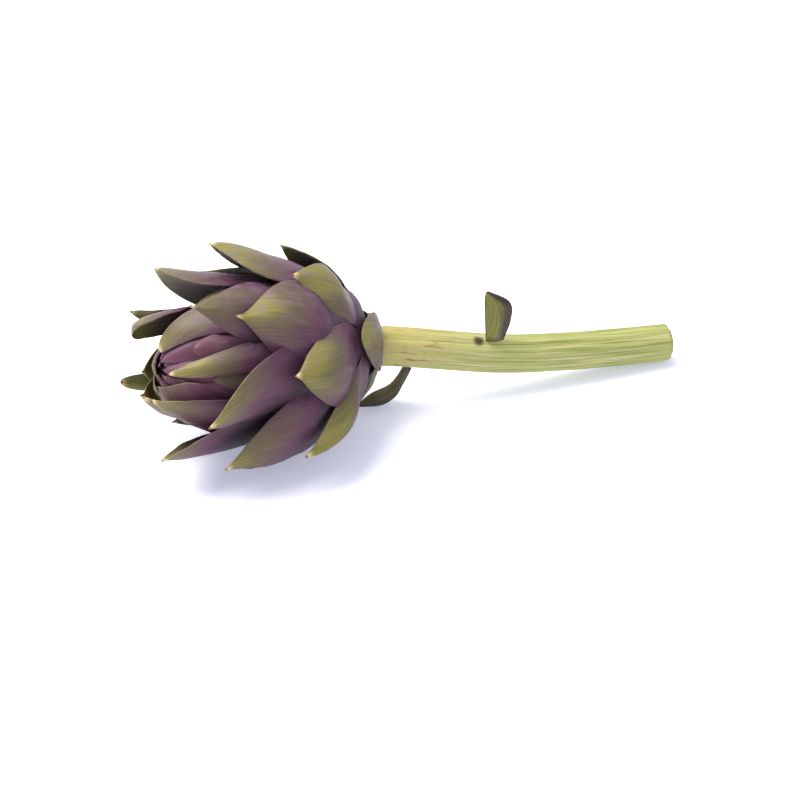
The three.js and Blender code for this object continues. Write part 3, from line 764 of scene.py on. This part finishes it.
def makeHead():
    skewTurn = math.radians(headShape["skewAzimuth"])
    places = rowPlaces()
    blank = bladeBlank("bractBlank", places, bractBlade)
    tree = bractTree()
    values = {
        "Blank": blank, "Rows": len(places), "Widest Height": float(headShape["widestHeight"]),
        "Base Height": headShape["widestHeight"] - headShape["lowerLength"],
        "Skew": Vector((math.cos(skewTurn), math.sin(skewTurn), 0)) * headShape["skew"],
        "Up": Vector(headUp()), "Joint": Vector(headShape["joint"]),
        "Turn Down": math.radians(headShape["pitch"]) - math.pi / 2,
        "Ripple": bractBlade["rippleHeight"], "Material": bractMaterial(),
    }
    starts = spiral["pieceStarts"]
    for name, start, end in zip(("outer_bracts", "middle_bracts", "inner_bracts"), starts, starts[1:]):
        numbers = range(start, end)
        guide = bractGuide(name + "_guide", numbers)
        piece = grow(name, guide, tree, values | {"Bracts": len(numbers)})
        bpy.data.objects.remove(guide)
        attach(piece, "root")
        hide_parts("head")
    bpy.data.objects.remove(blank)
    makeHeart(heartMaterial())


makeHead()
print("head grown")


# The stem: a ribbed stalk along its route, its points in mm from the joint

stalkShape = {
    "route": ((5.4, 0, -0.9), (10.2, -1, -1.7), (24, -4, -4.9), (48, -9, -10.6), (72, -12.4, -14.4),
              (92, -14.8, -16.8), (110.8, -17.1, -18.5)),
    "radiusTop": 6.9,
    "radiusEnd": 6.6,
    "ribs": 10,
    "ribDepth": 0.028,  # of the radius, as the unevenness is
    "unevenness": 0.06,
    "knots": (2.2, 2.2, 0),  # of the unevenness, round the stalk
    "knotsAlong": 30,  # in a metre
    "rings": 220,
    "sides": 120,
    "worn": 0.985,  # from here on the cut edge is worn round
    "wornCurve": 3,
    "cutRadius": 0.8,  # of the stalk's
    "cutRings": 12,
    "cutDish": 0.06,  # of the cut's radius
}


def cutBlank():
    # The cut face as a disc of rings with a radius of 1, a little hollow where the pith has dried
    sides = stalkShape["sides"]
    radius = np.linspace(0, 1, stalkShape["cutRings"] + 1)
    turn = np.arange(sides) * 2 * math.pi / sides
    dish = -stalkShape["cutDish"] * np.cos(radius * math.pi / 2) ** 2
    points = [(0, 0, dish[0])]
    for r, z in zip(radius[1:], dish[1:]):
        points += [(r * math.cos(a), r * math.sin(a), z) for a in turn]
    faces = [(0, 1 + j, 1 + (j + 1) % sides) for j in range(sides)]
    for i in range(stalkShape["cutRings"] - 1):
        for j in range(sides):
            a, b = 1 + i * sides + j, 1 + i * sides + (j + 1) % sides
            faces.append((a, a + sides, b + sides, b))
    cutReach = np.concatenate([[0], np.repeat(radius[1:], sides)])
    return meshObject("cutBlank", points, faces, floats=dict(cut=np.ones(len(points)), cutReach=cutReach))


def stalkTree():
    tree, add = addTree("ribbedStalk", {
        "Rings": "Int", "Sides": "Int", "Top Radius": "Float", "End Radius": "Float",
        "Ribs": "Int", "Rib Depth": "Float", "Unevenness": "Float", "Worn From": "Float",
        "Cut": "Object", "Cut Radius": "Float", "Material": "Material",
    })
    given = add("NodeGroupInput").outputs
    route = add("GeometryNodeResampleCurve", {0: given["Geometry"], "Count": given["Rings"]})
    along = add("GeometryNodeSplineParameter")
    for name, value in (("along", along), ("reach", along.outputs["Length"])):
        route = add("GeometryNodeStoreNamedAttribute", {0: route, "Name": name, "Value": value})
    ring = add("GeometryNodeCurvePrimitiveCircle", {"Resolution": given["Sides"], "Radius": 1})
    ring = add("GeometryNodeStoreNamedAttribute", {
        0: ring, "Name": "around", "Value": add("GeometryNodeInputPosition")}, data_type="FLOAT_VECTOR")
    radius = add("ShaderNodeMapRange", {
        "Value": along, "To Min": given["Top Radius"], "To Max": given["End Radius"]})
    worn = add("ShaderNodeMapRange", {
        "Value": along, "From Min": given["Worn From"], "From Max": 1})
    worn = add("ShaderNodeMath", [worn, stalkShape["wornCurve"]], operation="POWER")
    worn = add("ShaderNodeMapRange", {"Value": worn, "To Min": 1, "To Max": given["Cut Radius"]})
    radius = add("ShaderNodeMath", [radius, worn], operation="MULTIPLY")
    cutRadius = add("ShaderNodeMath", [given["Cut Radius"], given["End Radius"]], operation="MULTIPLY")
    cutFace = add("GeometryNodeObjectInfo", {"Object": given["Cut"]}).outputs["Geometry"]
    tangent = add("GeometryNodeInputTangent")
    squared = add("FunctionNodeAlignRotationToVector", {"Vector": tangent}, axis="Z")
    cut = add("GeometryNodeInstanceOnPoints", {
        "Points": route, "Selection": add("GeometryNodeCurveEndpointSelection", [0, 1]),
        "Instance": cutFace, "Rotation": squared, "Scale": cutRadius})
    cut = add("GeometryNodeRealizeInstances", [cut])
    stalk = add("GeometryNodeCurveToMesh", {
        "Curve": route, "Profile Curve": ring, "Scale": radius, "Fill Caps": True})

    # Ribs as a wave round the stalk, made uneven by a noise that is drawn out along it
    around = add("GeometryNodeInputNamedAttribute", {"Name": "around"}, data_type="FLOAT_VECTOR")
    reach = add("GeometryNodeInputNamedAttribute", {"Name": "reach"}, data_type="FLOAT")
    split = add("ShaderNodeSeparateXYZ", [around])
    turn = add("ShaderNodeMath", [split.outputs["Y"], split.outputs["X"]], operation="ARCTAN2")
    ribs = add("ShaderNodeMath", [turn, given["Ribs"]], operation="MULTIPLY")
    ribs = add("ShaderNodeMath", [ribs], operation="COSINE")
    ribs = add("ShaderNodeMath", [ribs, given["Rib Depth"]], operation="MULTIPLY")
    knots = add("ShaderNodeVectorMath", [around, stalkShape["knots"]], operation="MULTIPLY")
    onwards = add("ShaderNodeMath", [reach, stalkShape["knotsAlong"]], operation="MULTIPLY")
    onwards = add("ShaderNodeCombineXYZ", {2: onwards})
    knots = add("ShaderNodeVectorMath", [knots, onwards], operation="ADD")
    knots = add("ShaderNodeTexNoise", {"Vector": knots, "Scale": 1, "Detail": 2})
    knots = add("ShaderNodeMath", [knots, noiseMiddle], operation="SUBTRACT")
    swell = add("ShaderNodeMath", [knots, given["Unevenness"], ribs], operation="MULTIPLY_ADD")
    swell = add("ShaderNodeMath", [swell, given["End Radius"]], operation="MULTIPLY")
    normal = add("GeometryNodeInputNormal")
    outward = add("ShaderNodeVectorMath", {0: normal, "Scale": swell}, operation="SCALE")
    stalk = add("GeometryNodeSetPosition", {0: stalk, "Offset": outward})
    both = add("GeometryNodeJoinGeometry")
    for part in (cut, stalk):
        tree.links.new(part.outputs[0], both.inputs[0])
    stalk = add("GeometryNodeSetShadeSmooth", [both])
    stalk = add("GeometryNodeSetMaterial", {0: stalk, "Material": given["Material"]})
    add("NodeGroupOutput", [stalk])
    return tree


def routeCurve(name, points):
    # A smooth curve through points given in mm from the joint
    curve = bpy.data.curves.new(name, "CURVE")
    curve.dimensions = "3D"
    curve.resolution_u = 24
    spline = curve.splines.new("BEZIER")
    spline.bezier_points.add(len(points) - 1)
    for knot, place in zip(spline.bezier_points, points):
        knot.co = (Vector(place) + Vector(headShape["joint"])) * mm
        knot.handle_left_type = knot.handle_right_type = "AUTO"
    return addObject(name, curve)


# Stalk skin: living green stem, ribbed, with pale dry fibres along it and darker grooves. It is
# yellower and streaked with rust near the head, and its cut face shows a moist pale pith inside
# a ring of greener bundles and a browned edge.

stalkSkin = {
    "stops": ((0.3, "#74813f"), (0.44, "#949a56"), (0.58, "#a7a867"), (0.72, "#bdb48f")),
    "bandShare": 0.35,
    "darkening": 0.16,
    "pith": "#c8c69c",
    # tint, the low and high of what it follows and how much it covers at most
    "yellow": ("#b3a663", 38, 4, 0.7),  # mm from the head
    "rust": ("#86552c", 0.57, 0.68, 0.75),
    "scar": ("#3f2a20", 0.0028, 0.0009, 0.95),  # m from its middle
    "wornEdge": ("#6b5232", stalkShape["worn"], 1, 0.7),
    "bundle": ("#8b9654", 0.45, 0.62, 1),
    "cutEdge": ("#6b5232", 0.86, 0.97, 1),
    # masks, as low and high
    "rusty": (30, 12),  # mm from the head
    "outer": (0.35, 0.7),
    "scarPlace": (39.2, -9.7, -2.5),  # mm from the joint, where a leaf came off
    # grains: width and length in mm, and detail
    "fibres": (0.55, 26, 3),
    "streaks": (1.4, 7, 2),
    "bands": (4, 30, 2),
    "bundles": (0.7, 0.7, 2),
    "bandRelief": 2,
    "bumpHeight": 0.0004,
    "bumpStrength": 0.5,
    "roughness": (0.4, 0.62),
}


def stalkMaterial():
    material, add = addMaterial("ribbedStalkSkin")
    own = stalkSkin
    at = {}
    for name, output in (
        ("around", "Vector"), ("reach", "Fac"), ("cut", "Fac"), ("cutReach", "Fac"), ("along", "Fac"),
    ):
        at[name] = add("ShaderNodeAttribute", attribute_name=name).outputs[output]
    reach = add("ShaderNodeMath", [at["reach"], 1 / mm], operation="MULTIPLY")
    solid = add("ShaderNodeTexCoord").outputs["Object"]
    girth = add("ShaderNodeVectorMath", {
        0: at["around"], "Scale": stalkShape["radiusEnd"]}, operation="SCALE")
    onwards = add("ShaderNodeCombineXYZ", {2: reach})
    place = add("ShaderNodeVectorMath", [girth, onwards], operation="ADD")
    for name, source, unit in (
        ("fibres", place, 1), ("streaks", place, 1), ("bands", place, 1), ("bundles", solid, mm),
    ):
        width, length, detail = own[name]
        scale = [1 / (size * unit) for size in (width, width, length)]
        spread = add("ShaderNodeMapping", {0: source, "Scale": scale})
        at[name] = add("ShaderNodeTexNoise", {"Vector": spread, "Scale": 1, "Detail": detail})
    tone = add("ShaderNodeMath", [at["bands"], own["bandShare"], at["fibres"]], operation="MULTIPLY_ADD")
    tone = add("ShaderNodeMath", [tone, own["darkening"]], operation="SUBTRACT")
    scarPlace = (Vector(own["scarPlace"]) + Vector(headShape["joint"])) * mm
    scarReach = add("ShaderNodeVectorMath", [solid, scarPlace], operation="DISTANCE").outputs["Value"]
    shade = layOver(add, add("ShaderNodeValToRGB", [tone], stops=own["stops"]), (
        (reach, own["yellow"]), (at["streaks"], own["rust"], (reach, *own["rusty"])),
        (scarReach, own["scar"]), (at["along"], own["wornEdge"])))
    cutShade = layOver(add, colour(own["pith"]), (
        (at["bundles"], own["bundle"], (at["cutReach"], *own["outer"])), (at["cutReach"], own["cutEdge"])))
    shade = add("ShaderNodeMix", {"Factor": at["cut"], "A": shade, "B": cutShade}, data_type="RGBA")
    relief = add("ShaderNodeMath", [at["bands"], own["bandRelief"], at["fibres"]], operation="MULTIPLY_ADD")
    smoothest, roughest = own["roughness"]
    roughness = add("ShaderNodeMapRange", {
        "Value": at["fibres"], "To Min": smoothest, "To Max": roughest})
    addSurface(add, shade, relief, roughness, own)
    return material


def makeStalk():
    own = stalkShape
    route = routeCurve("stalk_route", own["route"])
    cut = cutBlank()
    stalk = grow("stalk", route, stalkTree(), {
        "Rings": own["rings"], "Sides": own["sides"],
        "Top Radius": own["radiusTop"] * mm, "End Radius": own["radiusEnd"] * mm,
        "Ribs": own["ribs"], "Rib Depth": own["ribDepth"], "Unevenness": own["unevenness"],
        "Worn From": own["worn"], "Cut": cut, "Cut Radius": own["cutRadius"],
        "Material": stalkMaterial(),
    })
    bpy.data.objects.remove(route)
    bpy.data.objects.remove(cut)
    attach(stalk, "root")
    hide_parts("stem")


makeStalk()
print("stalk grown")


# The two small leaves left on the stalk. Each follows a route of points in mm from the joint,
# with a half width at each; side is the way across it, cup how deep it is folded and dried how
# far the brown plum has spread over it.

leafShapes = {
    "upper_leaf": {
        "node": "stem_leaf_upper",
        "route": ((44.6, -11.3, -2.7), (46.4, -9.9, 3.6), (46.6, -8.6, 10.6), (43, -7.6, 15.5)),
        "halfWidths": (3, 4.6, 4.4, 0.4),
        "side": (-0.97, 0.24, 0),
        "cup": 0.5,
        "dried": 0,
    },
    "lower_leaf": {
        "node": "stem_leaf_lower",
        "route": ((16, -1.8, -11), (13.6, -1.4, -15.6), (10, -1.2, -19.8), (4, -1, -22), (-3, -1, -22.6)),
        "halfWidths": (1.6, 2.6, 3.4, 3.4, 0.6),
        "side": (0, 1, 0),
        "cup": 0.5,
        "dried": 0.9,
    },
}

leafBlade = {
    "rows": 36,
    "columns": 16,
    "midrib": 1,
    "edge": 0.5,
    "tip": 0.5,
    "thinning": 4,
    "keel": 1.25,
    "leastHalf": 0.3,
    "ripple": 0.35,  # mm high
    "ripplesAlong": 9,
    "ripplesAcross": 2,
}


def smoothThrough(values, shares):
    # A smooth line through the rows of values, read at shares of its length
    values = np.array(values, float)
    knots = np.concatenate([2 * values[:1] - values[1:2], values, 2 * values[-1:] - values[-2:-1]])
    place = np.clip(shares * (len(values) - 1), 0, len(values) - 1 - 1e-6)
    start = place.astype(int)
    t = (place - start)[:, None]
    a, b, c, d = (knots[start + i] for i in range(4))
    return b + 0.5 * t * (c - a + t * (2 * a - 5 * b + 4 * c - d + t * (3 * (b - c) + d - a)))


# Leaf skin: an older bract gone leathery and half dry, olive, brown-plum where it has dried,
# and painted shade in brown-plum over one half of its back; darker along the edge and at its torn root

leafSkin = {
    "olive": "#5f6129",
    # tint, the low and high of what it follows and how much it covers at most
    "oliveLight": ("#7d7a3c", 0.4, 0.65, 1),
    # brown-plum for the dried leaf, and painted shade over one half across it
    "plum": ("#362a27", 0.45, 1.1, 1),
    "lining": ("#6d6a45", 0, 1, 0.6),
    "edge": ("#4a3626", 0.86, 1, 0.7),
    "root": ("#4a3626", 0.12, 0, 0.8),
    # grains: width and length in mm, jump from leaf to leaf and detail
    "fibres": (0.4, 9, 3, 3),
    "patches": (3.3333, 6.25, 3, 3),
    "patchWeight": 1.1,
    "bumpHeight": 0.0003,
    "bumpStrength": 0.5,
    "roughness": 0.52,
}


def leafMaterial():
    material, add = addMaterial("leatheryLeafSkin")
    own = leafSkin
    at = {}
    for name in ("along", "across", "inside", "dried"):
        at[name] = add("ShaderNodeAttribute", attribute_name=name).outputs["Fac"]
    skin = add("ShaderNodeAttribute", attribute_name="skinPlace").outputs["Vector"]
    for name in ("fibres", "patches"):
        at[name] = addGrain(add, skin, *own[name])
    # Brown-plum where the leaf has dried, and painted shade on the half where across is high
    dark = add("ShaderNodeMath", [at["patches"], own["patchWeight"], at["across"]],
               operation="MULTIPLY_ADD")
    dark = add("ShaderNodeMath", [dark, at["dried"]], operation="ADD")
    side = add("ShaderNodeMath", [at["across"]], operation="ABSOLUTE")
    shade = layOver(add, colour(own["olive"]), (
        (at["fibres"], own["oliveLight"]), (dark, own["plum"]), (at["inside"], own["lining"]),
        (side, own["edge"]), (at["along"], own["root"])))
    addSurface(add, shade, at["fibres"], own["roughness"], own)
    return material


def makeLeaf(name, shape, skin):
    own = leafBlade
    leaf = bladeBlank(name, np.linspace(0, 1, own["rows"] + 1), own)
    mesh = leaf.data
    along, across, depth = np.zeros((3, len(mesh.vertices)))
    for label, values in (("along", along), ("across", across), ("depth", depth)):
        mesh.attributes[label].data.foreach_get("value", values)
    route = shape["route"]
    step = 1e-3
    centre = smoothThrough(route, along)
    way = smoothThrough(route, along + step) - smoothThrough(route, along - step)
    side = np.array(shape["side"])
    outward = np.cross(way, side)
    outward /= np.linalg.norm(outward, axis=1)[:, None]
    widths = np.array(shape["halfWidths"])[:, None]
    half = np.maximum(smoothThrough(widths, along)[:, 0], own["leastHalf"])
    rise = shape["cup"] * half * (1 - abs(across) ** own["keel"]) + own["midrib"] / 2 - depth
    wave = np.sin(own["ripplesAlong"] * along + own["ripplesAcross"] * across)
    rise += own["ripple"] * across ** 2 * wave
    points = centre - side * (across * half)[:, None] + outward * rise[:, None]
    mesh.vertices.foreach_set("co", np.ravel((points + np.array(headShape["joint"])) * mm))
    reach = along * np.linalg.norm(np.diff(route, axis=0), axis=1).sum()
    dried = np.full(len(half), float(shape["dried"]))
    skinPlace = np.stack([across * half, reach, dried], 1)
    for label, kind, field, values in (
        ("dried", "FLOAT", "value", dried), ("skinPlace", "FLOAT_VECTOR", "vector", skinPlace),
    ):
        mesh.attributes.new(label, kind, "POINT").data.foreach_set(field, np.ravel(values))
    mesh.shade_smooth()
    mesh.materials.append(skin)
    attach(leaf, "root")
    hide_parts(shape["node"])


leathery = leafMaterial()
for name, shape in leafShapes.items():
    makeLeaf(name, shape, leathery)
print("leaves made")


# Floor and light: white paper under a large soft lamp, places and sizes in m

stage = {
    "floorReach": 3.0,
    "paper": "#f2f2f6",
    "paperRoughness": 0.9,
    "paperGloss": 0.1,
    "glow": "#dfe6ff",
    "glowStrength": 0.35,  # lifts the shadows
    "sky": "#eef1ff",
    "skyStrength": 0.7,
    "lamps": {  # place, size, watts and tint
        "key": ((-0.42, 0.4, 1.1), 1.1, 31, "#fffaf2"),
        "fill": ((-0.6, -0.8, 0.6), 0.9, 1, "#f4f6ff"),
    },
}


def makeStage():
    mesh = bpy.data.meshes.new("floor")
    reach = stage["floorReach"]
    corners = [(-reach, -reach, 0), (reach, -reach, 0), (reach, reach, 0), (-reach, reach, 0)]
    mesh.from_pydata(corners, [], [(0, 1, 2, 3)])
    floor = addObject("floor", mesh)
    material = bpy.data.materials.new("mattWhitePaper")
    material.use_nodes = True
    paper = material.node_tree.nodes["Principled BSDF"].inputs
    paper["Base Color"].default_value = colour(stage["paper"])
    paper["Roughness"].default_value = stage["paperRoughness"]
    paper["Specular IOR Level"].default_value = stage["paperGloss"]
    paper["Emission Color"].default_value = colour(stage["glow"])
    paper["Emission Strength"].default_value = stage["glowStrength"]
    mesh.materials.append(material)

    world = bpy.data.worlds.new("studio")
    bpy.context.scene.world = world
    world.use_nodes = True
    sky = world.node_tree.nodes["Background"].inputs
    sky["Color"].default_value = colour(stage["sky"])
    sky["Strength"].default_value = stage["skyStrength"]

    for name, (place, size, power, tint) in stage["lamps"].items():
        data = bpy.data.lights.new(name, "AREA")
        data.size = size
        data.energy = power
        data.color = colour(tint)[:3]
        lamp = addObject(name, data)
        lamp.location = place
        lamp.rotation_mode = "QUATERNION"
        lamp.rotation_quaternion = (-Vector(place)).to_track_quat("-Z", "Y")


makeStage()
bpy.context.scene.view_settings.view_transform = "Standard"
print("stage set")
